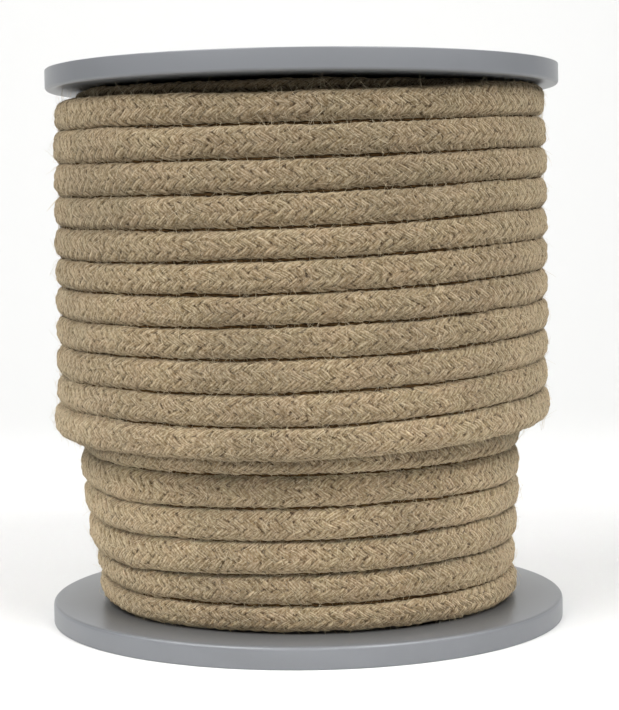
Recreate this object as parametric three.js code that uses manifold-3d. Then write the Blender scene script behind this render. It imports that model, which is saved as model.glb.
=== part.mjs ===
// Braided linen rope wound in layers on a moulded plastic reel, standing on its lower flange.
// Millimetres, +Z up, origin on the reel's axis at the surface it stands on.
// The rope's outer layer stops short of the lower flange, so the layer below shows there.
import * as THREE from "three";
import { mergeVertices } from "three/addons/utils/BufferGeometryUtils.js";
import Module from "manifold-3d";

// Reel
const REEL_RADIUS = 70;
const REEL_HEIGHT = 150;
const FLANGE_THICKNESS = 5.7;
const EDGE_ROUNDING = 0.7;
const RIM_INNER_RADIUS = 65;
const WEB_THICKNESS = 2.4;
const SPINDLE_RADIUS = 16;
const HUB_RADIUS = 20.5;
const RIB_COUNT = 8;
const RIB_WIDTH = 2;
const RIB_SETBACK = 0.6;
const RIB_OVERLAP = 1;
const BARREL_RADIUS = 24.8;
const BARREL_WALL = 2.8;
const SPIGOT_HEIGHT = 8;
const SPIGOT_CHAMFER = 0.6;
const REEL_SIDES = 64;
const BARREL_SIDES = 48;
const PLASTIC = { color: 0x9a9c9f, roughness: 0.42, metalness: 0 };

// Rope
const ROPE_DIAMETER = 8;
const SECTION_POWER = 2.6;
const GROOVE_DEPTH = 2.2;
const SECTION_PLACES = [-1, -0.8, -0.4, 0.4, 0.8, 1];
const TURN_STEPS = 48;
const CORE_RADIUS = 51;
const LINEN = { color: 0x9e8d71, roughness: 0.95, metalness: 0 };

// Clearance between pieces that touch, and how near two points are that count as one
const GAP = 0.3;
const SAME_POINT = 1e-4;

// Heights of the grooves between the outer layer's turns, from the top edge down, at SIDE_ANGLE
// to the left of the front, at the front, and at SIDE_ANGLE to the right
const SIDE_ANGLE = 50;
const OUTER_GROOVES = [
  { left: 140.9, front: 140.2, right: 143.0 },
  { left: 132.7, front: 132.1, right: 134.3 },
  { left: 123.9, front: 123.8, right: 126.2 },
  { left: 115.3, front: 115.6, right: 118.2 },
  { left: 106.9, front: 107.0, right: 110.1 },
  { left: 98.6, front: 99.3, right: 102.0 },
  { left: 90.8, front: 91.0, right: 93.6 },
  { left: 82.9, front: 83.1, right: 85.5 },
  { left: 75.2, front: 75.0, right: 77.4 },
  { left: 66.9, front: 66.7, right: 69.3 },
  { left: 59.1, front: 58.4, right: 61.3 },
  { left: 50.9, front: 50.2, right: 53.1 },
];
// The same for the second layer, from the bottom edge up
const SECOND_GROOVES = [
  { left: 6.0, front: 6.0, right: 6.0 },
  { left: 12.3, front: 12.9, right: 12.9 },
  { left: 19.5, front: 20.9, right: 21.6 },
  { left: 28.9, front: 29.4, right: 30.3 },
  { left: 37.0, front: 37.6, right: 38.0 },
  { left: 45.9, front: 45.8, right: 46.4 },
  { left: 53.8, front: 53.9, right: 54.5 },
];

// How far out the turns reach at a height: the second layer draws in towards the lower flange
const SECOND_REACH = [
  { height: 9.5, radius: 56.0 },
  { height: 17.2, radius: 57.1 },
  { height: 25.2, radius: 58.4 },
  { height: 33.2, radius: 59.5 },
  { height: 41.3, radius: 60.0 },
  { height: 49.5, radius: 60.5 },
];
const OUTER_REACH = [
  { height: 54, radius: 67.6 },
  { height: 62, radius: 67.35 },
];

// Each layer's grooves are followed to its next turn by pitch, where the list has ended. It steps
// over behind the reel, from stepAngle degrees off the front on, and climbs out of the layer below
// over climbLength degrees from startRadius. Its inner wall lies in the core, the second layer's
// deeper than the outer one's, and the outer layer starts one step before the back.
const ROPE_PITCH = 8.15;
const SECOND_LAYER = {
  grooves: SECOND_GROOVES,
  reach: SECOND_REACH,
  pitch: ROPE_PITCH,
  turns: 17,
  firstStep: 0,
  stepAngle: 110,
  climbLength: 70,
  startRadius: 50,
  wallRadius: CORE_RADIUS - 3,
};
const OUTER_LAYER = {
  grooves: OUTER_GROOVES,
  reach: OUTER_REACH,
  pitch: -ROPE_PITCH,
  turns: OUTER_GROOVES.length - 1,
  firstStep: -1,
  stepAngle: 50,
  climbLength: 105,
  startRadius: 58,
  wallRadius: CORE_RADIUS - 1,
};

const WINDING_BOTTOM = FLANGE_THICKNESS + GAP;
const WINDING_TOP = REEL_HEIGHT - FLANGE_THICKNESS - GAP;
const WINDING_BORE = BARREL_RADIUS + GAP;

const ropeLinen = new THREE.MeshStandardMaterial(LINEN);
const reelPlastic = new THREE.MeshStandardMaterial(PLASTIC);

const wasm = await Module();
wasm.setup();

// A closed geometry as a solid that can be joined to others
function solidOf(geometry) {
  const bare = geometry.clone();
  bare.deleteAttribute("normal");
  bare.deleteAttribute("uv");
  const merged = mergeVertices(bare, SAME_POINT);
  return new wasm.Manifold(
    new wasm.Mesh({
      numProp: 3,
      vertProperties: merged.attributes.position.array,
      triVerts: new Uint32Array(merged.index.array),
    }),
  );
}

// A joined solid back as a geometry
function geometryOf(solid) {
  const mesh = solid.getMesh();
  const geometry = new THREE.BufferGeometry();
  geometry.setAttribute("position", new THREE.BufferAttribute(mesh.vertProperties, 3));
  geometry.setIndex(new THREE.BufferAttribute(mesh.triVerts, 1));
  geometry.computeVertexNormals();
  return geometry;
}

// A closed ring turned about +Z from its section, points of [radius, height] going round it
function turned(section, sides) {
  const points = [...section, section[0]].map(([radius, height]) => new THREE.Vector2(radius, height));
  return new THREE.LatheGeometry(points, sides).rotateX(Math.PI / 2);
}

// How far out a layer's turns reach at a height, read between the rows of its table
function reachAt({ reach }, height) {
  const above = reach.findIndex((row) => height <= row.height);
  if (above === 0) return reach[0].radius;
  if (above < 0) return reach[reach.length - 1].radius;
  const low = reach[above - 1];
  const high = reach[above];
  return THREE.MathUtils.mapLinear(height, low.height, high.height, low.radius, high.radius);
}

// A listed groove, or one at an even pitch past either end of the list
function grooveRow({ grooves, pitch }, line) {
  const near = THREE.MathUtils.clamp(line, 0, grooves.length - 1);
  const { left, front, right } = grooves[near];
  const past = (line - near) * pitch;
  return { left: left + past, front: front + past, right: right + past };
}

// Height of a turn's first edge, line 0, or its second edge, line 1, after a travel in turns from
// the back. Both layers are wound the same way round. On each turn a groove runs from the right by
// the front to the left, then steps over to the right of the next one.
function grooveHeight(layer, line, travel) {
  const turn = Math.floor(travel);
  const degrees = 180 - (travel - turn) * 360;
  const { left, front, right } = grooveRow(layer, line + turn);
  const side = THREE.MathUtils.clamp(degrees / SIDE_ANGLE, -1, 1);
  const seen = front + (side * (right - left)) / 2 + (side * side * (right + left - 2 * front)) / 2;
  const past = (Math.abs(degrees) - layer.stepAngle) / (180 - layer.stepAngle);
  const stepped = THREE.MathUtils.clamp(past, 0, 1);
  const other = grooveRow(layer, line + turn + (degrees > 0 ? -1 : 1));
  const height = THREE.MathUtils.lerp(seen, degrees > 0 ? other.left : other.right, stepped / 2);
  return THREE.MathUtils.clamp(height, WINDING_BOTTOM, WINDING_TOP);
}

// How far out the middle of a turn lies after a travel
function crestRadius(layer, travel, height) {
  const climbed = THREE.MathUtils.smoothstep(travel * 360, 0, layer.climbLength);
  return THREE.MathUtils.lerp(layer.startRadius, reachAt(layer, height), climbed);
}

// Rows across one turn, as places from -1 to 1 and how deep the rope's round lies there
const SECTION_ROWS = SECTION_PLACES.map((across) => {
  const half = ROPE_DIAMETER / 2;
  const round = Math.pow(1 - Math.pow(Math.abs(across), SECTION_POWER), 1 / SECTION_POWER);
  return { across, depth: Math.min(half * (1 - round), GROOVE_DEPTH) };
});

// The points of a layer's band: for each step the rows across its turn, of which the first is the
// last of the turn before, and for each step and one more turn a point on its inner wall
function bandPoints(layer) {
  const steps = layer.turns * TURN_STEPS;
  const positions = [];
  const outside = new Map();
  const wall = new Map();
  const point = (radius, height, travel) => {
    const angle = Math.PI - travel * 2 * Math.PI;
    positions.push(radius * Math.sin(angle), -radius * Math.cos(angle), height);
    return positions.length / 3 - 1;
  };
  for (let i = layer.firstStep; i <= steps + TURN_STEPS; i++) {
    const travel = i / TURN_STEPS;
    wall.set(i, point(layer.wallRadius, grooveHeight(layer, 0, travel), travel));
  }
  for (let i = layer.firstStep; i <= steps; i++) {
    const travel = i / TURN_STEPS;
    const first = grooveHeight(layer, 0, travel);
    const second = grooveHeight(layer, 1, travel);
    const radius = crestRadius(layer, travel, (first + second) / 2);
    const shared = outside.get(i - TURN_STEPS);
    const rows = SECTION_ROWS.map(({ across, depth }, row) => {
      if (row === 0 && shared) return shared[SECTION_ROWS.length - 1];
      const height = THREE.MathUtils.lerp(first, second, (across + 1) / 2);
      return point(radius - depth, height, travel);
    });
    outside.set(i, rows);
  }
  return { positions, outside, wall, steps };
}

// The loops of points round a band's faces: its turns, inner wall, two edges and two ends
function bandLoops(layer, { outside, wall, steps }) {
  const { firstStep } = layer;
  const last = SECTION_ROWS.length - 1;
  const loops = [];
  for (let i = firstStep; i < steps; i++) {
    const here = outside.get(i);
    const next = outside.get(i + 1);
    const far = i + TURN_STEPS;
    for (let row = 0; row < last; row++) {
      loops.push([here[row], here[row + 1], next[row + 1], next[row]]);
    }
    loops.push([wall.get(i), wall.get(i + 1), wall.get(far + 1), wall.get(far)]);
    if (i < firstStep + TURN_STEPS) loops.push([wall.get(i), here[0], next[0], wall.get(i + 1)]);
    if (far >= steps) loops.push([here[last], wall.get(far), wall.get(far + 1), next[last]]);
  }
  const start = [...outside.get(firstStep)].reverse();
  loops.push([wall.get(firstStep), wall.get(firstStep + TURN_STEPS), ...start]);
  loops.push([wall.get(steps + TURN_STEPS), wall.get(steps), ...outside.get(steps)]);
  return loops;
}

// A layer's turns as one closed helical band
function band(layer) {
  const points = bandPoints(layer);
  const triangles = [];
  for (const loop of bandLoops(layer, points)) {
    const around = layer.pitch > 0 ? loop : loop.reverse();
    for (let i = 1; i < around.length - 1; i++) {
      triangles.push(around[0], around[i], around[i + 1]);
    }
  }
  const geometry = new THREE.BufferGeometry();
  geometry.setAttribute("position", new THREE.Float32BufferAttribute(points.positions, 3));
  geometry.setIndex(triangles);
  return geometry;
}

function ropeWinding() {
  const core = turned(
    [
      [WINDING_BORE, WINDING_BOTTOM],
      [CORE_RADIUS, WINDING_BOTTOM],
      [CORE_RADIUS, WINDING_TOP],
      [WINDING_BORE, WINDING_TOP],
    ],
    TURN_STEPS,
  );
  return geometryOf(solidOf(core).add(solidOf(band(SECOND_LAYER))).add(solidOf(band(OUTER_LAYER))));
}

// One flange, lying with its outer face down at height 0
function flange() {
  const barrelBore = BARREL_RADIUS - BARREL_WALL;
  const spigotRadius = barrelBore - GAP;
  const spigotTop = FLANGE_THICKNESS + SPIGOT_HEIGHT;
  const webFace = FLANGE_THICKNESS - WEB_THICKNESS;
  const slant = EDGE_ROUNDING * (1 - Math.SQRT1_2);
  const ring = turned(
    [
      [SPINDLE_RADIUS, 0],
      [HUB_RADIUS, 0],
      [HUB_RADIUS, webFace],
      [RIM_INNER_RADIUS, webFace],
      [RIM_INNER_RADIUS, 0],
      [REEL_RADIUS - EDGE_ROUNDING, 0],
      [REEL_RADIUS - slant, slant],
      [REEL_RADIUS, EDGE_ROUNDING],
      [REEL_RADIUS, FLANGE_THICKNESS - EDGE_ROUNDING],
      [REEL_RADIUS - slant, FLANGE_THICKNESS - slant],
      [REEL_RADIUS - EDGE_ROUNDING, FLANGE_THICKNESS],
      [spigotRadius, FLANGE_THICKNESS],
      [spigotRadius, spigotTop - SPIGOT_CHAMFER],
      [spigotRadius - SPIGOT_CHAMFER, spigotTop],
      [SPINDLE_RADIUS, spigotTop],
    ],
    REEL_SIDES,
  );
  let solid = solidOf(ring);
  const ribLength = RIM_INNER_RADIUS - HUB_RADIUS + 2 * RIB_OVERLAP;
  const ribHeight = webFace - RIB_SETBACK + WEB_THICKNESS / 2;
  for (let i = 0; i < RIB_COUNT; i++) {
    const rib = new THREE.BoxGeometry(ribLength, RIB_WIDTH, ribHeight)
      .translate((RIM_INNER_RADIUS + HUB_RADIUS) / 2, 0, RIB_SETBACK + ribHeight / 2)
      .rotateZ(((i + 0.5) * 2 * Math.PI) / RIB_COUNT);
    solid = solid.add(solidOf(rib));
  }
  return geometryOf(solid);
}

function barrel() {
  return turned(
    [
      [BARREL_RADIUS - BARREL_WALL, WINDING_BOTTOM],
      [BARREL_RADIUS, WINDING_BOTTOM],
      [BARREL_RADIUS, WINDING_TOP],
      [BARREL_RADIUS - BARREL_WALL, WINDING_TOP],
    ],
    BARREL_SIDES,
  );
}

function named(name, geometry, material) {
  const mesh = new THREE.Mesh(geometry, material);
  mesh.name = name;
  return mesh;
}

const lowerFlange = named("lower_flange", flange(), reelPlastic);

const upperFlange = named("upper_flange", flange(), reelPlastic);
upperFlange.rotation.x = Math.PI;
upperFlange.position.z = REEL_HEIGHT;

const reel = new THREE.Group();
reel.add(lowerFlange, upperFlange, named("barrel", barrel(), reelPlastic));

const group = new THREE.Group();
group.add(reel, named("rope_winding", ropeWinding(), ropeLinen));

export default group;
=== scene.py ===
import math
from typing import NamedTuple

import bpy
import numpy as np
from mathutils import Matrix, Vector


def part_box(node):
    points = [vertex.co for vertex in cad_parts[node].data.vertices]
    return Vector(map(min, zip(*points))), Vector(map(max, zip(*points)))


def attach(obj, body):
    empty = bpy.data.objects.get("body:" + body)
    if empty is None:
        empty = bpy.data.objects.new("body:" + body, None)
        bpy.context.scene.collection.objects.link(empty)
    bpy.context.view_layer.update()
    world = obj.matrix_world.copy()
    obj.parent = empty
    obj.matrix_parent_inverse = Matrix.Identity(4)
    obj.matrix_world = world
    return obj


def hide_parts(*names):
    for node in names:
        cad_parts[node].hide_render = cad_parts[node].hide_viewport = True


# Braided linen rope wound in layers on a grey moulded plastic reel that stands on its lower flange.
# Metres, +Z up along the reel's axis, the front of the reel towards -Y.

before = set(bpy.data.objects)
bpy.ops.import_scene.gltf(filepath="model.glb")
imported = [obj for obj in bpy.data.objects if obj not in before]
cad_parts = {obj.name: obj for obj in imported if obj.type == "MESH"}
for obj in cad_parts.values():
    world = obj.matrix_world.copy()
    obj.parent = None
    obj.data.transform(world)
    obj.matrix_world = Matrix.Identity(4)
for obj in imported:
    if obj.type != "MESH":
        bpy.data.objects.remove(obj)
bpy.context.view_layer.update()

MM = 0.001
RANDOM = np.random.default_rng(11)

# Reel, from the frame
REEL_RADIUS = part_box("lower_flange")[1].x
REEL_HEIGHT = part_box("upper_flange")[1].z
WINDING_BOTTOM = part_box("rope_winding")[0].z
WINDING_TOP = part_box("rope_winding")[1].z
BARREL_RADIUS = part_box("barrel")[1].x
BARREL_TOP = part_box("barrel")[1].z
BARREL_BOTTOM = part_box("barrel")[0].z
SPIGOT_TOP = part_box("lower_flange")[1].z
GAP = 0.3 * MM
FLANGE_THICKNESS = WINDING_BOTTOM - GAP
BARREL_WALL = 2.8 * MM
RIM_INNER_RADIUS = 65 * MM
WEB_THICKNESS = 2.4 * MM
SPINDLE_RADIUS = 16 * MM
HUB_RADIUS = 20.5 * MM
RIB_COUNT = 8
RIB_WIDTH = 2 * MM
RIB_SETBACK = 0.6 * MM
EDGE_ROUNDING = 1.0 * MM
SMALL_ROUNDING = 0.3 * MM
REEL_SIDES = 144

# Rope. Turns squeeze each other from round towards square: the power is 2 for a circle. At the
# reel's sides they are pressed together by a further share, which leaves thin soft grooves there.
ROPE_DIAMETER = 8 * MM
ROPE_PITCH = 8.15 * MM
SECTION_POWER = 2.55
SIDE_PRESS = 0.085
SIDE_ANGLE = 50


class Groove(NamedTuple):
    """Heights of a groove between two turns in mm: SIDE_ANGLE degrees left of the front, in front,
    and SIDE_ANGLE degrees right."""

    left: float
    front: float
    right: float


class Reach(NamedTuple):
    """How far out the turns reach at a height, in mm, on the left and on the right."""

    height: float
    left: float
    right: float


class Layer(NamedTuple):
    """A layer of the wound rope. It climbs out of the layer below, from start_radius, over climb
    degrees, and steps over to its next turn behind the reel, from step_angle on. left_rise and
    right_rise lift its turns at the sides, and axis_radius is the usual radius of the rope's
    middle."""

    grooves: list
    reach: list
    pitch: float
    climb: float
    step_angle: float
    start_radius: float
    axis_radius: float
    left_rise: float
    right_rise: float


# The outer layer from the top down, as the photograph shows it
OUTER_GROOVES = [
    Groove(140.9, 140.2, 143.0),
    Groove(132.7, 132.1, 134.3),
    Groove(123.9, 123.8, 126.2),
    Groove(115.3, 115.6, 118.2),
    Groove(106.9, 107.0, 110.1),
    Groove(98.6, 99.3, 102.0),
    Groove(90.8, 91.0, 93.6),
    Groove(82.9, 83.1, 85.5),
    Groove(75.2, 75.0, 77.4),
    Groove(66.9, 66.7, 69.3),
    Groove(59.1, 58.4, 61.3),
    Groove(50.9, 50.2, 53.1),
]
OUTER_REACH = [
    Reach(54, 69.1, 67.2),
    Reach(62, 68.1, 66.8),
    Reach(128, 68.1, 66.8),
    Reach(137, 67.5, 66.5),
]
OUTER = Layer(
    grooves=OUTER_GROOVES,
    reach=OUTER_REACH,
    pitch=-ROPE_PITCH,
    climb=105,
    step_angle=50,
    start_radius=58 * MM,
    axis_radius=63.35 * MM,
    left_rise=1.6 * MM,
    right_rise=0.6 * MM,
)

# The second layer from the bottom up, as far as the photograph shows it
SECOND_GROOVES = [
    Groove(6.0, 6.0, 6.0),
    Groove(12.3, 12.9, 12.9),
    Groove(19.5, 20.9, 21.6),
    Groove(28.9, 29.4, 30.3),
    Groove(37.0, 37.6, 38.0),
    Groove(45.9, 45.8, 46.4),
    Groove(53.8, 53.9, 54.5),
]
SECOND_REACH = [
    Reach(9.5, 57.2, 57.7),
    Reach(17.2, 57.7, 57.1),
    Reach(25.2, 60.0, 57.9),
    Reach(33.2, 61.2, 58.6),
    Reach(41.3, 61.9, 58.6),
    Reach(49.5, 62.2, 58.8),
]
SECOND = Layer(
    grooves=SECOND_GROOVES,
    reach=SECOND_REACH,
    pitch=ROPE_PITCH,
    climb=70,
    step_angle=110,
    start_radius=50 * MM,
    axis_radius=56 * MM,
    left_rise=1.6 * MM,
    right_rise=0.3 * MM,
)

# Where stitches show, in turns from a layer's start: all of the outer layer, in three pieces that
# meet at OUTER_CUTS, and the second layer but for the turns that the outer one covers
OUTER_START = -0.02
OUTER_TURNS = len(OUTER_GROOVES) - 1
OUTER_CUTS = (OUTER_START, 4, 8, OUTER_TURNS)
SECOND_TURNS = 17
COVERED_START = 7
COVERED_END = 16

# Unevenness of the winding: how far it strays, and over what length of rope. A turn is FULLEST_TURN
# times as high as the space between its grooves, or about THINNER less in places.
CREST_WANDER = 0.12 * MM
CREST_LENGTH = 45 * MM
HEIGHT_WANDER = 0.07 * MM
HEIGHT_LENGTH = 60 * MM
FULLEST_TURN = 1.035
THINNER = 0.05
THINNER_LENGTH = 30 * MM

# Braid: twenty strands, each passing over two and under two of those that run the other way. Its
# unit is a tenth of the way round and STITCH_PITCH along, with CELLS mesh cells each way. Stitches
# show SHOWN_UNITS up and down from a turn's outward line, and waves of LUMP each make them lumpy.
STRANDS_EACH_WAY = 10
STITCH_PITCH = 3.05 * MM
CELLS = 5
SHOWN_UNITS = 2.6
RELIEF = 0.34 * MM
LUMP_WAVES = 14
LUMP = 0.016 * MM

# How far the braid leans and its stitches lie askew, in units, and how unlike its strands are
LEAN = 0.3
LEAN_LENGTH = 260 * MM
ASKEW_WAVES = 8
ASKEW = 0.055
STRAND_WAVES = 4
UNLIKE = 0.42

# A strand is three yarns wide, in mm. Each strand's pattern is shifted along it, so that no two
# show the same streaks.
STRAND_WIDTH = 1.95
YARN_WIDTH = 0.65
STRAND_SHIFT = 7.3
OTHER_WAY_SHIFT = 500

# Fluff in the grooves, a strip coloured with painted shade: how deep it lies under the turns' crests,
# # and its width there. It takes every FLUFF_STEP-th step of the rope's route.
FLUFF_STEP = 2
FLUFF_DEPTH = 1.95 * MM
FLUFF_WANDER = 0.18 * MM
FLUFF_LENGTH = 12 * MM
FLUFF_RAGGED = 0.25 * MM
FLUFF_ROOT = 2.9 * MM
FLUFF_HALF = 0.8 * MM

# Stray fibres. Angles count round the rope's section from its outward side, in radians. Real flax
# fibres are about 0.01 mm in radius, and these are coarser so that they show.
FIBRES_OUTER = 6500
FIBRES_SECOND = 2700
FIBRE_STEPS = 3
FIBRE_RADIUS = (0.025 * MM, 0.055 * MM)
FIBRE_TAPER = 0.6
FIBRE_LENGTH = (1.2 * MM, 4.5 * MM)
FIBRE_LIFT = 0.22 * MM
FIBRE_LIFT_LIMITS = (0.05 * MM, 1.1 * MM)
FIBRE_BEND = 0.35
FREE_ENDS = 0.35
BRIDGING = 0.32
BRIDGING_ANGLES = (0.75, 1.25)
LYING_ANGLES = (-1.2, 1.2)

# Rope that doesn't show. HIDDEN_ANGLES are round a turn's section from its outward side, in degrees.
CORE_RADIUS = 51.5 * MM
PLAIN_STEP = 3 * MM
PLAIN_SIDES = 16
HIDDEN_ANGLES = (150.0, 210.0)


# Small helpers


def linear(hex_colour):
    """An sRGB hex colour as linear RGBA."""
    channels = [int(hex_colour[i : i + 2], 16) / 255 for i in (1, 3, 5)]
    return [c / 12.92 if c <= 0.04045 else ((c + 0.055) / 1.055) ** 2.4 for c in channels] + [1.0]


def smoothstep(x):
    x = np.clip(x, 0, 1)
    return x * x * (3 - 2 * x)


def wander(x, wavelength, waves=7):
    """Smooth random values of about -1 to 1 along x, which may be an array."""
    total = np.zeros_like(x)
    for _ in range(waves):
        rate = 2 * math.pi / (wavelength * RANDOM.uniform(0.6, 1.9))
        total += np.sin(x * rate + RANDOM.uniform(0, 2 * math.pi))
    return total / math.sqrt(waves)


def add_node(tree, kind, links=None, stops=(), **settings):
    """A shader node with its settings, its colour stops, and links from {input: node, socket or
    value}, where a node stands for its first output."""
    node = tree.nodes.new(kind)
    for key, value in settings.items():
        setattr(node, key, value)
    for key, value in (links or {}).items():
        source = value.outputs[0] if isinstance(value, bpy.types.Node) else value
        if isinstance(source, bpy.types.NodeSocket):
            tree.links.new(source, node.inputs[key])
        else:
            node.inputs[key].default_value = source
    for number, (position, colour) in enumerate(stops):
        node.color_ramp.elements[number].position = position
        node.color_ramp.elements[number].color = linear(colour)
    return node


def new_material(name, **finish):
    """A material, its tree and its Principled shader, with the finish set on the shader."""
    material = bpy.data.materials.new(name)
    material.use_nodes = True
    shader = material.node_tree.nodes["Principled BSDF"]
    for key, value in finish.items():
        shader.inputs[key.replace("_", " ")].default_value = value
    return material, material.node_tree, shader


def mesh_object(name, points, triangles, material):
    """An object at the origin with its mesh in place, shaded smooth."""
    mesh = bpy.data.meshes.new(name)
    mesh.vertices.add(len(points))
    mesh.vertices.foreach_set("co", np.asarray(points, dtype=np.float32).ravel())
    mesh.loops.add(triangles.size)
    mesh.loops.foreach_set("vertex_index", triangles.astype(np.int32).ravel())
    mesh.polygons.add(len(triangles))
    mesh.polygons.foreach_set("loop_start", np.arange(0, triangles.size, 3, dtype=np.int32))
    mesh.polygons.foreach_set("use_smooth", np.full(len(triangles), True))
    mesh.update(calc_edges=True)
    mesh.materials.append(material)
    piece = bpy.data.objects.new(name, mesh)
    bpy.context.scene.collection.objects.link(piece)
    return piece


def put_on(piece, node):
    """The piece stands for a CAD node: it hangs from the root body and the node is hidden."""
    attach(piece, "root")
    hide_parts(node)


# Camera, light and floor

# The camera was worked out from the rims of both flanges, in the photograph's 619 by 710 pixels
FRAME_HEIGHT = 710
FOCAL_PIXELS = 1912.8
CAMERA_DISTANCE = 527.7 * MM
CAMERA_HEIGHT = 109.4 * MM
CAMERA_DOWN = math.radians(2.184)
CAMERA_ROLL = math.radians(0.771)
CENTRE_SHIFT = (-5.34, -65.18)
SENSOR = 36


def add_camera():
    data = bpy.data.cameras.new("camera")
    data.sensor_width = SENSOR
    data.lens = FOCAL_PIXELS * SENSOR / FRAME_HEIGHT
    data.shift_x = -CENTRE_SHIFT[0] / FRAME_HEIGHT
    data.shift_y = CENTRE_SHIFT[1] / FRAME_HEIGHT
    data.clip_start = 0.01
    camera = bpy.data.objects.new("camera", data)
    tilt = Matrix.Rotation(math.pi / 2 - CAMERA_DOWN, 4, "X") @ Matrix.Rotation(-CAMERA_ROLL, 4, "Z")
    camera.matrix_world = Matrix.Translation((0, -CAMERA_DISTANCE, CAMERA_HEIGHT)) @ tilt
    bpy.context.scene.collection.objects.link(camera)
    bpy.context.scene.camera = camera


def add_area_lamp(name, size, power, location, rotation, spread=180):
    data = bpy.data.lights.new(name, "AREA")
    data.spread = math.radians(spread)
    data.shape = "RECTANGLE"
    data.size, data.size_y = size
    data.energy = power
    lamp = bpy.data.objects.new(name, data)
    lamp.location = location
    lamp.rotation_euler = rotation
    bpy.context.scene.collection.objects.link(lamp)


def add_softbox(name, azimuth, elevation, distance, size, power, aim=REEL_HEIGHT / 2, spread=180):
    """A studio softbox aimed at a height on the reel's axis. Azimuth counts from the front towards
    +X, and a small spread stands for a grid on the softbox."""
    a, e = math.radians(azimuth), math.radians(elevation)
    target = Vector((0, 0, aim))
    back = Vector((math.sin(a) * math.cos(e), -math.cos(a) * math.cos(e), math.sin(e)))
    rotation = back.to_track_quat("Z", "Y").to_euler()
    add_area_lamp(name, size, power, target + back * distance, rotation, spread)


def add_studio():
    """Two softboxes in front, one at each side with the left one stronger, a low one with a grid
    for the lowest turns, and a lamp on the paper behind the reel."""
    add_softbox("softbox_front_left", -36, 46, 0.8, (0.36, 0.36), 5.0)
    add_softbox("softbox_front_right", 36, 46, 0.8, (0.36, 0.36), 5.9)
    add_softbox("softbox_left", -75, 46, 1.1, (0.5, 0.5), 5.4)
    add_softbox("softbox_right", 75, 40, 1.1, (0.5, 0.5), 2.8)
    add_softbox("softbox_low", 0, 14, 0.9, (0.5, 0.06), 0.055, aim=0.02, spread=10)
    add_area_lamp("backdrop_lamp", (1.6, 0.3), 8.4, (0, 0.35, 1.0), (math.radians(50), 0, 0))
    world = bpy.data.worlds.new("studio")
    world.use_nodes = True
    background = world.node_tree.nodes["Background"]
    background.inputs["Color"].default_value = linear("#ffffff")
    background.inputs["Strength"].default_value = 0.03
    bpy.context.scene.world = world
    bpy.context.scene.view_settings.view_transform = "Standard"


def add_floor():
    """A pale paper sweep: flat under the reel, curving up behind it."""
    half_width, front, top = 2.0, -2.5, 1.6
    bend_start, bend_radius, bend_steps = 0.5, 0.5, 16
    curve = [(front, 0.0)]
    for i in range(bend_steps + 1):
        angle = i / bend_steps * math.pi / 2
        y = bend_start + bend_radius * math.sin(angle)
        curve.append((y, bend_radius * (1 - math.cos(angle))))
    curve.append((bend_start + bend_radius, top))
    points = [(x, y, z) for y, z in curve for x in (-half_width, half_width)]
    corners = range(0, len(points) - 2, 2)
    triangles = [t for i in corners for t in ((i, i + 1, i + 3), (i, i + 3, i + 2))]
    material, tree, shader = new_material("matt_white_paper", Roughness=0.9)
    tone = add_node(tree, "ShaderNodeTexNoise", {"Scale": 3.0})
    shade = add_node(tree, "ShaderNodeValToRGB", {"Fac": tone}, [(0.0, "#d5d5d4"), (1.0, "#d9d9d8")])
    tree.links.new(shade.outputs["Color"], shader.inputs["Base Color"])
    floor = mesh_object("floor", points, np.array(triangles), material)


# Materials


def strand_profile(tree):
    """1 on top of a strand and 0 at its edges and where it dives at both ends of its stitch."""
    stitch_place = add_node(tree, "ShaderNodeUVMap", uv_map="stitch")
    split = add_node(tree, "ShaderNodeSeparateXYZ", {0: stitch_place}).outputs
    halves = add_node(tree, "ShaderNodeMath", {0: split["X"], 1: 2.0}, operation="MULTIPLY")
    from_middle = add_node(tree, "ShaderNodeMath", {0: halves}, operation="ABSOLUTE")
    edge = add_node(tree, "ShaderNodeMath", {0: from_middle, 1: 3.0}, operation="POWER")
    flat = add_node(tree, "ShaderNodeMath", {0: 1.0, 1: edge}, operation="SUBTRACT")
    from_top = add_node(tree, "ShaderNodeMath", {0: split["Y"], 1: 1.0}, operation="SUBTRACT")
    to_end = add_node(tree, "ShaderNodeMath", {0: from_top}, operation="ABSOLUTE")
    dive = add_node(tree, "ShaderNodeMath", {0: to_end, 1: 5.0}, operation="POWER")
    level = add_node(tree, "ShaderNodeMath", {0: 1.0, 1: dive}, operation="SUBTRACT")
    return add_node(tree, "ShaderNodeMath", {0: flat, 1: level}, operation="MULTIPLY")


def yarn_ridges(tree, yarn):
    """1 on top of each of a strand's three yarns and -1 between them, wavering along the strand."""
    yarn_x = add_node(tree, "ShaderNodeSeparateXYZ", {0: yarn}).outputs["X"]
    slow = add_node(tree, "ShaderNodeMapping", {"Vector": yarn, "Scale": (0.4, 0.5, 1.0)})
    wobble = add_node(tree, "ShaderNodeTexNoise", {"Vector": slow, "Scale": 1.0, "Detail": 1.0})
    shifted = add_node(tree, "ShaderNodeMath", {0: wobble, 1: 0.4, 2: yarn_x}, operation="MULTIPLY_ADD")
    phase = add_node(
        tree, "ShaderNodeMath", {0: shifted, 1: 2 * math.pi / YARN_WIDTH}, operation="MULTIPLY"
    )
    return add_node(tree, "ShaderNodeMath", {0: phase}, operation="COSINE")


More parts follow.
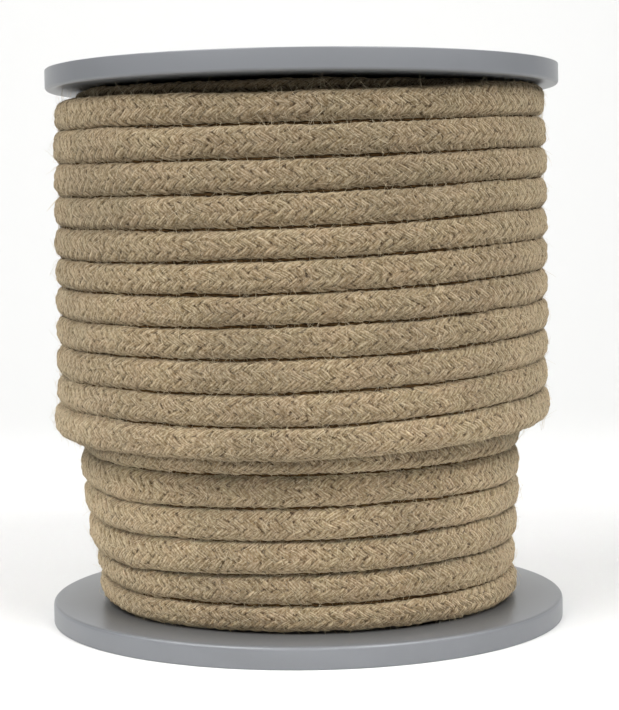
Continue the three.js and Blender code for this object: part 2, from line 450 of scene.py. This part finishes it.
def felted_fibres(tree, place):
    """1 along loose fibres felted onto the rope in all directions, drawn about 0.15 mm wide so that
    they show, and 0 beside them."""
    lines = []
    for size in (1.5 * MM, 1.1 * MM):
        curl = {"Vector": place, "Scale": 1 / size, "Detail": 1.0, "Distortion": 0.6}
        curls = add_node(tree, "ShaderNodeTexNoise", curl)
        side = add_node(tree, "ShaderNodeMath", {0: curls, 1: 0.5}, operation="SUBTRACT")
        off = add_node(tree, "ShaderNodeMath", {0: side}, operation="ABSOLUTE")
        lines.append(add_node(tree, "ShaderNodeMapRange", {0: off, 1: 0.0, 2: 0.035, 3: 1.0, 4: 0.0}))
    return add_node(tree, "ShaderNodeMath", {0: lines[0], 1: lines[1]}, operation="MAXIMUM")


def flax_shades(tree, place):
    """Shades to multiply with flax: fuzz 0.8 mm wide, and slow changes of its tint and tone."""
    fuzz = add_node(
        tree, "ShaderNodeTexNoise", {"Vector": place, "Scale": 1 / (0.8 * MM), "Detail": 3.0}
    )
    tint = add_node(tree, "ShaderNodeTexNoise", {"Vector": place, "Scale": 1 / (7 * MM), "Detail": 3.0})
    tone = add_node(tree, "ShaderNodeTexNoise", {"Vector": place, "Scale": 1 / (25 * MM), "Detail": 2.0})
    return [
        add_node(tree, "ShaderNodeValToRGB", {"Fac": fuzz}, [(0.34, "#b9ac96"), (0.64, "#ffffff")]),
        add_node(tree, "ShaderNodeValToRGB", {"Fac": tint}, [(0.36, "#f4f4ef"), (0.64, "#f8f3f0")]),
        add_node(tree, "ShaderNodeValToRGB", {"Fac": tone}, [(0.35, "#e6e6e6"), (0.65, "#ffffff")]),
    ]


def painted_pit_shade(tree, place, profile):
    """Painted shade: dark pits about 1 mm wide, in places only, where a strand dives under others."""
    patch = add_node(tree, "ShaderNodeTexNoise", {"Vector": place, "Scale": 1 / (1.1 * MM), "Detail": 2.0})
    closed = add_node(tree, "ShaderNodeMath", {0: patch, 1: 2.2, 2: -0.95}, operation="MULTIPLY_ADD")
    depth = add_node(tree, "ShaderNodeMath", {0: profile, 1: closed}, operation="ADD")
    return add_node(tree, "ShaderNodeValToRGB", {"Fac": depth}, [(0.0, "#75603c"), (0.55, "#ffffff")])


def braided_linen():
    """Natural flax yarn, wet spun and braided: matt beige and hairy, streaky along each yarn, with
    painted shade between the yarns and, here and there, where strands dive under each other."""
    material, tree, shader = new_material("braided_linen", Roughness=0.88, IOR=1.5)
    shader.inputs["Specular IOR Level"].default_value = 0.25
    shader.inputs["Diffuse Roughness"].default_value = 1.0
    shader.inputs["Sheen Weight"].default_value = 0.35
    shader.inputs["Sheen Roughness"].default_value = 0.5
    shader.inputs["Sheen Tint"].default_value = linear("#e6d6b4")

    # The yarn map is in mm, x across a strand and y along it
    yarn = add_node(tree, "ShaderNodeUVMap", uv_map="yarn")
    place = add_node(tree, "ShaderNodeTexCoord").outputs["Object"]
    profile = strand_profile(tree)
    ridge = yarn_ridges(tree, yarn)
    fibre_lines = felted_fibres(tree, place)

    # Streaks of lighter and darker flax, 0.3 mm wide and 3 mm long, and the fibres in them
    long_way = add_node(tree, "ShaderNodeMapping", {"Vector": yarn, "Scale": (3.2, 0.35, 1.0)})
    streaks = add_node(tree, "ShaderNodeTexNoise", {"Vector": long_way, "Scale": 1.0, "Detail": 3.0})
    colour = add_node(tree, "ShaderNodeValToRGB", {"Fac": streaks}, [(0.27, "#87785f"), (0.73, "#c8baa0")])
    fine_way = add_node(tree, "ShaderNodeMapping", {"Vector": yarn, "Scale": (7.0, 1.6, 1.0)})
    fibres = add_node(tree, "ShaderNodeTexNoise", {"Vector": fine_way, "Scale": 1.0, "Detail": 2.0})

    # Painted shade between the yarns, in their creases
    ridge_place = add_node(tree, "ShaderNodeMath", {0: ridge, 1: 0.5, 2: 0.5}, operation="MULTIPLY_ADD")
    painted_shade_between_yarns = add_node(
        tree, "ShaderNodeValToRGB", {"Fac": ridge_place}, [(0.0, "#d8cbb3"), (0.6, "#ffffff")]
    )
    # The flax's own shades, then painted shade between the yarns and in the pits
    for shade in (*flax_shades(tree, place), painted_shade_between_yarns, painted_pit_shade(tree, place, profile)):
        colour = add_node(tree, "ShaderNodeVectorMath", {0: colour, 1: shade}, operation="MULTIPLY")
    strength = add_node(tree, "ShaderNodeMath", {0: fibre_lines, 1: 0.22}, operation="MULTIPLY")
    hairy = add_node(tree, "ShaderNodeMixRGB", {0: strength, 1: colour, 2: linear("#cdc2aa")})
    tree.links.new(hairy.outputs[0], shader.inputs["Base Color"])

    # Relief in mm
    yarns = add_node(tree, "ShaderNodeMath", {0: ridge, 1: 0.035}, operation="MULTIPLY")
    stitches = add_node(tree, "ShaderNodeMath", {0: profile, 1: 0.18, 2: yarns}, operation="MULTIPLY_ADD")
    fluff = add_node(tree, "ShaderNodeMath", {0: fibres, 1: 0.08, 2: stitches}, operation="MULTIPLY_ADD")
    relief = add_node(tree, "ShaderNodeMath", {0: fibre_lines, 1: 0.04, 2: fluff}, operation="MULTIPLY_ADD")
    bump = add_node(tree, "ShaderNodeBump", {"Height": relief, "Strength": 1.0, "Distance": MM})
    tree.links.new(bump.outputs["Normal"], shader.inputs["Normal"])
    return material


def stray_flax():
    """Loose flax fibres: pale straw, a little glossier than the yarn they stand out of."""
    material, tree, shader = new_material("stray_flax_fibre", Roughness=0.6, IOR=1.5)
    place = add_node(tree, "ShaderNodeTexCoord").outputs["Object"]
    tone = add_node(tree, "ShaderNodeTexNoise", {"Vector": place, "Scale": 1 / (6 * MM)})
    shade = add_node(tree, "ShaderNodeValToRGB", {"Fac": tone}, [(0.0, "#a39376"), (1.0, "#dccfb3")])
    tree.links.new(shade.outputs["Color"], shader.inputs["Base Color"])
    return material


def fluff_with_painted_shade():
    """Flax fluff pressed between two turns, coloured warm dark brown as painted groove shade."""
    material, tree, shader = new_material("fluff_and_painted_shade_in_grooves", Roughness=0.95, IOR=1.3)
    place = add_node(tree, "ShaderNodeTexCoord").outputs["Object"]
    tone = add_node(tree, "ShaderNodeTexNoise", {"Vector": place, "Scale": 1 / (0.8 * MM), "Detail": 3.0})
    shade = add_node(tree, "ShaderNodeValToRGB", {"Fac": tone}, [(0.3, "#291b09"), (0.7, "#523b1c")])
    tree.links.new(shade.outputs["Color"], shader.inputs["Base Color"])
    bump = add_node(tree, "ShaderNodeBump", {"Height": tone, "Strength": 1.0, "Distance": 0.3 * MM})
    tree.links.new(bump.outputs["Normal"], shader.inputs["Normal"])
    return material


def painted_shade_inside(tree, place, shade):
    """The plastic's shade, darkened between the flanges and most of all beside the rope: painted shade
    for the light that the rope and the flanges keep off their inner faces, set to match their tone.
    The plastic's shade, darkened between the flanges and most of all beside the rope, to match their
    inner faces in the photograph."""
    darkest_up_to = 57 * MM
    flat_place = add_node(tree, "ShaderNodeVectorMath", {0: place, 1: (1, 1, 0)}, operation="MULTIPLY")
    from_axis = add_node(tree, "ShaderNodeVectorMath", {0: flat_place}, operation="LENGTH")
    beside = add_node(
        tree, "ShaderNodeMapRange", {0: from_axis.outputs["Value"], 1: darkest_up_to, 2: REEL_RADIUS}
    )
    # Painted shade, darkest beside the rope and lightest at the rim
    painted_shade_ramp = add_node(tree, "ShaderNodeValToRGB", {"Fac": beside}, [(0.0, "#b3b0a9"), (1.0, "#e4e4e3")])
    painted_darker_shade = add_node(tree, "ShaderNodeVectorMath", {0: shade, 1: painted_shade_ramp}, operation="MULTIPLY")
    height = add_node(tree, "ShaderNodeSeparateXYZ", {0: place}).outputs["Z"]
    above = add_node(tree, "ShaderNodeMath", {0: height, 1: REEL_HEIGHT / 2}, operation="SUBTRACT")
    from_middle = add_node(tree, "ShaderNodeMath", {0: above}, operation="ABSOLUTE")
    inner_face = REEL_HEIGHT / 2 - FLANGE_THICKNESS + SMALL_ROUNDING
    inside = add_node(tree, "ShaderNodeMath", {0: from_middle, 1: inner_face}, operation="LESS_THAN")
    return add_node(tree, "ShaderNodeMixRGB", {0: inside, 1: shade, 2: painted_darker_shade})


def moulded_grey_plastic():
    """Injection moulded polypropylene: grey, satin, with faint flow clouds and fine grain."""
    material, tree, shader = new_material("moulded_grey_plastic", IOR=1.49)
    place = add_node(tree, "ShaderNodeTexCoord").outputs["Object"]
    clouds = add_node(
        tree, "ShaderNodeTexNoise", {"Vector": place, "Scale": 1 / (30 * MM), "Detail": 2.0}
    )
    shade = add_node(tree, "ShaderNodeValToRGB", {"Fac": clouds}, [(0.0, "#6d6f72"), (1.0, "#74767a")])
    # The base colour carries painted shade on the faces between the flanges
    tree.links.new(painted_shade_inside(tree, place, shade).outputs[0], shader.inputs["Base Color"])
    grain = add_node(tree, "ShaderNodeTexNoise", {"Vector": place, "Scale": 1 / (0.5 * MM), "Detail": 2.0})
    bump = add_node(tree, "ShaderNodeBump", {"Height": grain, "Strength": 0.3, "Distance": 0.03 * MM})
    tree.links.new(bump.outputs["Normal"], shader.inputs["Normal"])
    rough = add_node(tree, "ShaderNodeMapRange", {"Value": clouds, "To Min": 0.3, "To Max": 0.36})
    tree.links.new(rough.outputs["Result"], shader.inputs["Roughness"])
    return material


# Reel


def rounded(profile, sides=5):
    """A closed section of (radius, height, rounding) corners with each corner turned to an arc."""
    points = []
    for i, (r, z, rounding) in enumerate(profile):
        here = np.array([r, z])
        before = np.array(profile[i - 1][:2]) - here
        after = np.array(profile[(i + 1) % len(profile)][:2]) - here
        if rounding == 0:
            points.append(here)
            continue
        start = here + before / np.linalg.norm(before) * rounding
        end = here + after / np.linalg.norm(after) * rounding
        centre = start + end - here
        for step in range(sides + 1):
            turn = step / sides * math.pi / 2
            points.append(centre + (start - centre) * math.cos(turn) + (end - centre) * math.sin(turn))
    return np.array(points)


def turned(section, sides):
    """Points and triangles of a closed section turned round +Z."""
    count = len(section)
    angle = np.arange(sides) / sides * 2 * math.pi
    r, z = section[:, 0], section[:, 1]
    x = np.outer(np.cos(angle), r)
    y = np.outer(np.sin(angle), r)
    points = np.stack([x, y, np.broadcast_to(z, x.shape)], -1).reshape(-1, 3)
    i, j = np.meshgrid(np.arange(sides), np.arange(count), indexing="ij")
    a, b = i * count + j, i * count + (j + 1) % count
    c, d = (i + 1) % sides * count + (j + 1) % count, (i + 1) % sides * count + j
    triangles = np.concatenate(
        [np.stack([a, d, c], -1).reshape(-1, 3), np.stack([a, c, b], -1).reshape(-1, 3)]
    )
    return points, triangles


def joined(parts):
    """Several (points, triangles) as one."""
    all_points, all_triangles = [], []
    first_point = 0
    for points, triangles in parts:
        all_points.append(points)
        all_triangles.append(triangles + first_point)
        first_point += len(points)
    return np.concatenate(all_points), np.concatenate(all_triangles)


def rib(angle):
    """Points and triangles of a stiffening rib on the web, with bevelled outer edges."""
    web_face = FLANGE_THICKNESS - WEB_THICKNESS
    half = RIB_WIDTH / 2
    across = [(-half, web_face + WEB_THICKNESS / 2), (-half, RIB_SETBACK + SMALL_ROUNDING)]
    across += [(-half + SMALL_ROUNDING * 0.7, RIB_SETBACK + SMALL_ROUNDING * 0.3)]
    across += [(-half + SMALL_ROUNDING, RIB_SETBACK)]
    across += [(-y, z) for y, z in reversed(across)]
    count = len(across)
    reach = (HUB_RADIUS - 1 * MM, RIM_INNER_RADIUS + 1 * MM)
    points = np.array([(r, y, z) for r in reach for y, z in across])
    sides = [(j, (j + 1) % count) for j in range(count)]
    triangles = [t for a, b in sides for t in ((a, a + count, b + count), (a, b + count, b))]
    triangles += [(0, j, j + 1) for j in range(1, count - 1)]
    triangles += [(count, count + j + 1, count + j) for j in range(1, count - 1)]
    turn = np.array(Matrix.Rotation(angle, 3, "Z"))
    return points @ turn.T, np.array(triangles)


def flange():
    """Points and triangles of a flange with its outer face down at height 0."""
    web_face = FLANGE_THICKNESS - WEB_THICKNESS
    spigot_radius = BARREL_RADIUS - BARREL_WALL - GAP
    profile = [
        (SPINDLE_RADIUS, 0, SMALL_ROUNDING),
        (HUB_RADIUS, 0, SMALL_ROUNDING),
        (HUB_RADIUS, web_face, SMALL_ROUNDING),
        (RIM_INNER_RADIUS, web_face, SMALL_ROUNDING),
        (RIM_INNER_RADIUS, 0, SMALL_ROUNDING),
        (REEL_RADIUS, 0, SMALL_ROUNDING),
        (REEL_RADIUS, FLANGE_THICKNESS, EDGE_ROUNDING),
        (spigot_radius, FLANGE_THICKNESS, SMALL_ROUNDING),
        (spigot_radius, SPIGOT_TOP, SMALL_ROUNDING),
        (SPINDLE_RADIUS, SPIGOT_TOP, SMALL_ROUNDING),
    ]
    ribs = [rib((i + 0.5) * 2 * math.pi / RIB_COUNT) for i in range(RIB_COUNT)]
    return joined([turned(rounded(profile), REEL_SIDES), *ribs])


def add_reel(material):
    points, triangles = flange()
    lower = mesh_object("lower_flange_moulding", points, triangles, material)
    put_on(lower, "lower_flange")
    turned_over = points * (1, -1, -1) + (0, 0, REEL_HEIGHT)
    upper = mesh_object("upper_flange_moulding", turned_over, triangles, material)
    put_on(upper, "upper_flange")
    inner = BARREL_RADIUS - BARREL_WALL
    profile = [
        (inner, BARREL_BOTTOM, SMALL_ROUNDING),
        (BARREL_RADIUS, BARREL_BOTTOM, SMALL_ROUNDING),
        (BARREL_RADIUS, BARREL_TOP, SMALL_ROUNDING),
        (inner, BARREL_TOP, SMALL_ROUNDING),
    ]
    points, triangles = turned(rounded(profile, 3), REEL_SIDES)
    barrel = mesh_object("barrel_tube", points, triangles, material)
    put_on(barrel, "barrel")
    for piece in (lower, upper, barrel):
        edges = piece.modifiers.new("crisp_edges", "EDGE_SPLIT")
        edges.split_angle = math.radians(40)


# Rope


def groove_height(layer, line, travel):
    """Height of a groove, counted by line from the layer's first, after a travel in turns from the
    back. On each turn it runs from the right by the front to the left, then steps over to the right
    of the next one."""
    table = np.array(layer.grooves) * MM
    turn = np.floor(travel)
    degrees = 180 - (travel - turn) * 360

    def row(which):
        near = np.clip(which, 0, len(table) - 1)
        return (table[near.astype(int)] + ((which - near) * layer.pitch)[:, None]).T

    left, front, right = row(line + turn)
    side = np.clip(degrees / SIDE_ANGLE, -1, 1)
    seen = front + side * (right - left) / 2 + side**2 * (right + left - 2 * front) / 2
    past = smoothstep((np.abs(degrees) - SIDE_ANGLE) / (90 - SIDE_ANGLE))
    rise = np.where(degrees < 0, layer.left_rise, layer.right_rise)
    seen = seen + rise * past * smoothstep((180 - np.abs(degrees)) / 90)
    stepped = np.clip((np.abs(degrees) - layer.step_angle) / (180 - layer.step_angle), 0, 1)
    previous, following = row(line + turn - 1), row(line + turn + 1)
    target = np.where(degrees > 0, previous[0], following[2])
    return seen + (target - seen) * stepped / 2


class Route:
    """Where a layer's rope runs between two travels in turns, with its small unevenness."""

    def __init__(self, layer, start, end, step=STITCH_PITCH / CELLS):
        self.steps_a_turn = round(2 * math.pi * layer.axis_radius / step)
        first_step, last_step = round(start * self.steps_a_turn), round(end * self.steps_a_turn)
        self.travel = np.arange(first_step, last_step + 1) / self.steps_a_turn
        self.groove = np.clip(groove_height(layer, 1, self.travel), WINDING_BOTTOM, WINDING_TOP)
        other = np.clip(groove_height(layer, 0, self.travel), WINDING_BOTTOM, WINDING_TOP)
        along = self.travel * 2 * math.pi * layer.axis_radius
        reach = np.array(layer.reach) * MM
        self.middle = (self.groove + other) / 2
        left = np.interp(self.middle, reach[:, 0], reach[:, 1])
        right = np.interp(self.middle, reach[:, 0], reach[:, 2])
        to_right = np.sin(math.pi - self.travel * 2 * math.pi)
        crest = (left + right) / 2 + (right - left) / 2 * to_right
        climbed = smoothstep(self.travel * 360 / layer.climb)
        crest = layer.start_radius + (crest - layer.start_radius) * climbed
        self.crest = crest + wander(along, CREST_LENGTH) * CREST_WANDER
        self.middle = self.middle + wander(along, HEIGHT_LENGTH) * HEIGHT_WANDER
        aside = smoothstep((np.abs(to_right) - 0.45) / 0.45)
        thinner = THINNER * np.abs(wander(along, THINNER_LENGTH))
        self.half = np.abs(self.groove - other) / 2 * (FULLEST_TURN - thinner + SIDE_PRESS * aside)

        # The braid leans round the rope, its stitches lie askew and its strands are lumpy. Waves
        # have their rates for each of the braid's units and their phases, all in radians.
        self.lean = wander(along, LEAN_LENGTH, 5) * LEAN
        self.askew = RANDOM.uniform((-3, 0.4, 0), (3, 2.2, 6.3), (ASKEW_WAVES, 3))
        self.strand_rates = RANDOM.uniform(0.5, 2.4, STRAND_WAVES)
        self.strand_phases = RANDOM.uniform(0, 2 * math.pi, (STRAND_WAVES, 2 * STRANDS_EACH_WAY))
        self.lumps = RANDOM.uniform((-9, 2, 0), (9, 7, 6.3), (LUMP_WAVES, 3))

    def row(self, travel):
        """The number of the step at a travel."""
        return int(round((travel - self.travel[0]) * self.steps_a_turn))

    def points(self, around, lift, rows=slice(None)):
        """Points for an array of angles round the rope's section, lifted off its plain surface,
        one row for each step, or for the steps in rows. Angle 0 faces outwards and a quarter turn
        faces up."""
        half_depth = ROPE_DIAMETER / 2
        cos, sin = np.cos(around), np.sin(around)
        size = (np.abs(cos) ** SECTION_POWER + np.abs(sin) ** SECTION_POWER) ** (-1 / SECTION_POWER)
        r = self.crest[rows, None] - half_depth + (half_depth * size + lift) * cos
        z = self.middle[rows, None] + (self.half[rows, None] * size + lift) * sin
        angle = math.pi - self.travel[rows, None] * 2 * math.pi
        return np.stack([r * np.sin(angle), -r * np.cos(angle), z], -1)


def waves(table, turns, ways):
    """A sum of waves, each a row of its rate round the rope, its rate along it and its phase. turns
    and ways are places round and along the rope in the braid's units."""
    return sum(np.sin(turns * round_rate + ways * rate + phase) for round_rate, rate, phase in table)


def stitch(u, v):
    """For points in strand units: whether the right-hand strand is on top, its number, and the
    place across it, -0.5 to 0.5, and along its stitch, 0 to 2."""
    i, j = np.floor(u + 0.5), np.floor(v + 0.5)
    phase = (i + j) % 4
    right_hand = phase < 2
    across = np.where(right_hand, u - i, v - j)
    along = np.where(right_hand, v - j, u - i) + 0.5 + phase % 2
    return right_hand, np.where(right_hand, i, j), across, along


def uneven(route, right_hand, strand, ways):
    """Smooth random values for each strand, which make it stand higher or lower as it goes."""
    number = (strand % STRANDS_EACH_WAY + STRANDS_EACH_WAY * right_hand).astype(int)
    pairs = zip(route.strand_rates, route.strand_phases)
    return sum(np.sin(ways * rate + phase[number]) for rate, phase in pairs) / 2


def braid_places(route, rows):
    """Where the outward side's points are in the braid's units, one row for each step: round and
    along the rope, and across the strands of either hand."""
    side_columns = round(SHOWN_UNITS * CELLS)
    turns, ways = np.meshgrid(np.arange(-side_columns, side_columns + 1) / CELLS, rows / CELLS)
    lean = route.lean[rows, None]
    askew = waves(route.askew, turns, ways) * ASKEW
    return turns, ways, turns - ways + lean + askew, turns + ways + lean - askew


def stitch_lift(route, turns, ways, u, v):
    """How far the stitches and the strands' lumps lift the points off the rope's plain surface."""
    right_hand, strand, across, along = stitch(u, v)
    rounded_across = np.clip(np.cos(math.pi * across), 0, 1) ** 0.6
    height = rounded_across * np.clip(np.sin(math.pi * along / 2), 0, 1) ** 0.5
    height = height * (1 + UNLIKE * uneven(route, right_hand, strand, ways))
    return (height - 1) * RELIEF + waves(route.lumps, turns, ways) * LUMP


def stitched_faces(right_hand, width):
    """Triangles of the outward side, which is cut into squares along the strands on top. width is
    the number of points in a row of the whole tube."""
    steps, count = right_hand.shape
    i, j = np.meshgrid(np.arange(steps - 1), np.arange(count - 1), indexing="ij")
    low = (i * width + j).ravel()
    right, up, far = low + 1, low + width, low + width + 1
    slanted = right_hand[:-1, :-1].ravel()[:, None]
    first = np.where(slanted, np.stack([low, right, far], -1), np.stack([low, right, up], -1))
    other = np.where(slanted, np.stack([low, far, up], -1), np.stack([right, far, up], -1))
    return np.concatenate([first, other])


def stitched_maps(u, v, faces):
    """The yarn map in mm and the stitch map, for the corners of the outward side's triangles. A
    triangle takes both from the strand that is on top of its middle."""
    hidden_points = ((0, 0), (0, len(HIDDEN_ANGLES)))
    flat_u = np.pad(u, hidden_points).ravel()[faces]
    flat_v = np.pad(v, hidden_points).ravel()[faces]
    on_right, number, _, _ = stitch(flat_u.mean(1), flat_v.mean(1))
    on_right, number = on_right[:, None], number[:, None]
    across = np.where(on_right, flat_u, flat_v) - number
    distance = np.where(on_right, flat_v, flat_u)
    crossed = np.floor(distance.mean(1) + 0.5)[:, None]
    along = distance - crossed + 0.5 + (number + crossed) % 2
    shift = number * STRAND_SHIFT + on_right * OTHER_WAY_SHIFT
    yarn = np.stack([across * STRAND_WIDTH, distance * STRAND_WIDTH + shift], -1)
    return yarn, np.stack([np.clip(across, -0.5, 0.5), np.clip(along, 0, 2)], -1)


def closing_faces(steps, width):
    """Triangles of the tube's hidden side and of its two ends."""
    row = np.arange(steps - 1) * width
    faces = []
    for c in range(width - len(HIDDEN_ANGLES) - 1, width):
        n = (c + 1) % width
        faces.append(np.stack([row + c, row + n, row + n + width], -1))
        faces.append(np.stack([row + c, row + n + width, row + c + width], -1))
    last = (steps - 1) * width
    fan = np.arange(1, width - 1)
    faces.append(np.stack([np.zeros_like(fan), fan + 1, fan], -1))
    faces.append(np.stack([np.full_like(fan, last), last + fan, last + fan + 1], -1))
    return np.concatenate(faces)


def braid(name, route, start, end, material):
    """A stretch of the wound rope as a closed tube whose outward side carries the stitches. Two
    plain points close it on its hidden side."""
    rows = np.arange(route.row(start), route.row(end) + 1)
    turns, ways, u, v = braid_places(route, rows)
    lift = stitch_lift(route, turns, ways, u, v)
    front = route.points(turns * 2 * math.pi / STRANDS_EACH_WAY, lift, rows)
    hidden = np.broadcast_to(np.radians(HIDDEN_ANGLES), (len(rows), len(HIDDEN_ANGLES)))
    back = route.points(hidden, np.full(hidden.shape, -RELIEF), rows)
    points = np.concatenate([front, back], 1)
    steps, width = points.shape[:2]
    shown = stitched_faces(stitch(u, v)[0], width)
    closing = closing_faces(steps, width)
    piece = mesh_object(name, points.reshape(-1, 3), np.concatenate([shown, closing]), material)
    for map_name, values in zip(("yarn", "stitch"), stitched_maps(u, v, shown)):
        values = np.concatenate([values, np.zeros((len(closing), 3, 2))])
        uv_layer = piece.data.uv_layers.new(name=map_name)
        uv_layer.data.foreach_set("uv", values.astype(np.float32).ravel())
    put_on(piece, "rope_winding")


def fibre_directions(route, rows, around, upward, bridging):
    """Which way each fibre heads, and which way it stands out: off the turn that it lies on, or
    outwards where it bridges a groove."""
    count = len(rows)
    angle = math.pi - route.travel[rows] * 2 * math.pi
    outward = np.stack([np.sin(angle), -np.cos(angle), np.zeros(count)], -1)
    onward = np.stack([-np.cos(angle), -np.sin(angle), np.zeros(count)], -1)
    up = np.array([0.0, 0.0, 1.0])
    normal = outward * np.cos(around)[:, None] + up * np.sin(around)[:, None]
    over = up * np.cos(around)[:, None] - outward * np.sin(around)[:, None]
    heading = RANDOM.uniform(0, 2 * math.pi, count)
    lying = onward * np.cos(heading)[:, None] + over * np.sin(heading)[:, None]
    crossing = onward * RANDOM.uniform(-0.9, 0.9, count)[:, None] + up * upward[:, None]
    direction = np.where(bridging[:, None], crossing, lying)
    return direction, np.where(bridging[:, None], outward, normal)


def fibre_paths(root, direction, lean, stations):
    """A bent path from each root, which rises off the rope and either comes back down to it or,
    with a free end, stands out to its tip."""
    count = len(root)
    length = RANDOM.uniform(*FIBRE_LENGTH, count)
    lift = RANDOM.exponential(FIBRE_LIFT, count).clip(*FIBRE_LIFT_LIMITS)
    bend = np.cross(direction, lean) * RANDOM.uniform(-FIBRE_BEND, FIBRE_BEND, count)[:, None]
    free_end = RANDOM.random(count) < FREE_ENDS
    rise = np.where(free_end[:, None], stations**1.5, np.sin(math.pi * stations))
    paths = root[:, None] + direction[:, None] * (stations[None, :, None] * length[:, None, None])
    paths = paths + bend[:, None] * (stations[None, :, None] ** 2 * length[:, None, None])
    return paths + lean[:, None] * (rise * lift[:, None])[..., None]


def thin_tubes(paths, side, lean, radius):
    """Points and triangles of a three-sided tube along each path. side and lean are directions
    across it."""
    count, stations = paths.shape[:2]
    corners = [(math.cos(t), math.sin(t)) for t in (0, 2 * math.pi / 3, 4 * math.pi / 3)]
    rings = [
        paths + radius[..., None] * (side[:, None] * c + lean[:, None] * s) for c, s in corners
    ]
    base = np.arange(count)[:, None] * stations * 3 + np.arange(stations - 1)[None] * 3
    base = base.ravel()
    faces = []
    for c in range(3):
        n = (c + 1) % 3
        faces.append(np.stack([base + c, base + n, base + n + 3], -1))
        faces.append(np.stack([base + c, base + n + 3, base + c + 3], -1))
    return np.stack(rings, 2).reshape(-1, 3), np.concatenate(faces)


def stray_fibres(name, route, start, end, count, material):
    """Loose fibres on a layer. Most lie on the turns in any direction, and the rest bridge the
    grooves between them."""
    rows = RANDOM.integers(route.row(start), route.row(end), count)
    bridging = RANDOM.random(count) < BRIDGING
    upward = RANDOM.choice([-1.0, 1.0], count)
    low = np.where(bridging, BRIDGING_ANGLES[0], LYING_ANGLES[0])
    high = np.where(bridging, BRIDGING_ANGLES[1], LYING_ANGLES[1])
    around = np.where(bridging, upward, 1.0) * (low + RANDOM.random(count) * (high - low))
    root = route.points(around[:, None], np.zeros((count, 1)), rows)[:, 0]
    direction, lean = fibre_directions(route, rows, around, upward, bridging)
    stations = np.linspace(0, 1, FIBRE_STEPS + 1)
    paths = fibre_paths(root, direction, lean, stations)
    side = np.cross(direction, lean)
    side = side / np.linalg.norm(side, axis=1, keepdims=True)
    radius = RANDOM.uniform(*FIBRE_RADIUS, count)[:, None] * (1 - FIBRE_TAPER * stations)
    points, triangles = thin_tubes(paths, side, lean, radius)
    put_on(mesh_object(name, points, triangles, material), "rope_winding")


def shade_and_fluff_strip(name, route, start, end, material):
    """Fluff felted in the groove beside each turn: a ragged three-sided strip, coloured as painted shade.
    """
    rows = np.arange(route.row(start), route.row(end) + 1, FLUFF_STEP)
    next_turn = np.minimum(rows + route.steps_a_turn, len(route.travel) - 1)
    crest = np.minimum(route.crest[rows], route.crest[next_turn])
    depth = FLUFF_DEPTH + wander(rows * STITCH_PITCH / CELLS, FLUFF_LENGTH) * FLUFF_WANDER
    depth = depth + RANDOM.normal(0, FLUFF_RAGGED, len(rows))
    r = np.stack([crest - depth, crest - FLUFF_ROOT, crest - FLUFF_ROOT], 1)
    z = route.groove[rows, None] + np.array([0, FLUFF_HALF, -FLUFF_HALF])
    angle = math.pi - route.travel[rows, None] * 2 * math.pi
    points = np.stack([r * np.sin(angle), -r * np.cos(angle), z], -1).reshape(-1, 3)
    base = np.arange(len(rows) - 1) * 3
    last = 3 * (len(rows) - 1)
    faces = [np.array([[0, 1, 2], [last, last + 2, last + 1]])]
    for c in range(3):
        n = (c + 1) % 3
        faces.append(np.stack([base + c, base + c + 3, base + n + 3], -1))
        faces.append(np.stack([base + c, base + n + 3, base + n], -1))
    piece = mesh_object(name, points, np.concatenate(faces), material)
    put_on(piece, "rope_winding")


def add_core(material):
    """The layers under the second one, as one plain body of wound rope."""
    low, high = WINDING_BOTTOM + GAP, WINDING_TOP - GAP
    profile = [
        (BARREL_RADIUS + GAP, low, SMALL_ROUNDING),
        (CORE_RADIUS, low, SMALL_ROUNDING),
        (CORE_RADIUS, high, SMALL_ROUNDING),
        (BARREL_RADIUS + GAP, high, SMALL_ROUNDING),
    ]
    points, triangles = turned(rounded(profile, 2), REEL_SIDES)
    put_on(mesh_object("rope_core", points, triangles, material), "rope_winding")


def plain_layer(name, layer, start, end, material):
    """Turns that another layer covers: the rope's round without its stitches."""
    route = Route(layer, start, end, PLAIN_STEP)
    around = np.arange(PLAIN_SIDES) / PLAIN_SIDES * 2 * math.pi
    steps = len(route.travel)
    rings = route.points(np.broadcast_to(around, (steps, PLAIN_SIDES)), np.zeros((steps, PLAIN_SIDES)))
    i, j = np.meshgrid(np.arange(steps - 1) * PLAIN_SIDES, np.arange(PLAIN_SIDES), indexing="ij")
    a, b = (i + j).ravel(), (i + (j + 1) % PLAIN_SIDES).ravel()
    c, d = b + PLAIN_SIDES, a + PLAIN_SIDES
    triangles = np.concatenate([np.stack([a, b, c], -1), np.stack([a, c, d], -1)])
    piece = mesh_object(name, rings.reshape(-1, 3), triangles, material)
    put_on(piece, "rope_winding")


def add_rope(linen, fibre, fluff):
    add_core(linen)
    plain_layer("rope_second_covered", SECOND, COVERED_START, COVERED_END, linen)
    outer = Route(OUTER, OUTER_START, OUTER_TURNS)
    second = Route(SECOND, 0, SECOND_TURNS)
    for number, (start, end) in enumerate(zip(OUTER_CUTS, OUTER_CUTS[1:]), 1):
        braid(f"rope_outer_{number}", outer, start, end, linen)
    braid("rope_second_low", second, 0, 4, linen)
    braid("rope_second_middle", second, 4, COVERED_START, linen)
    braid("rope_second_top", second, COVERED_END, SECOND_TURNS, linen)
    # Fluff strips in the grooves, dark with painted shade
    shade_and_fluff_strip("groove_shade_and_fluff_outer", outer, 0, OUTER_TURNS - 1, fluff)
    shade_and_fluff_strip("groove_shade_and_fluff_second", second, 0, 6, fluff)
    stray_fibres("fibres_outer", outer, 0, OUTER_TURNS, FIBRES_OUTER, fibre)
    stray_fibres("fibres_second", second, 0, 6.5, FIBRES_SECOND, fibre)


add_camera()
add_studio()
add_floor()
add_reel(moulded_grey_plastic())
add_rope(braided_linen(), stray_flax(), fluff_with_painted_shade())
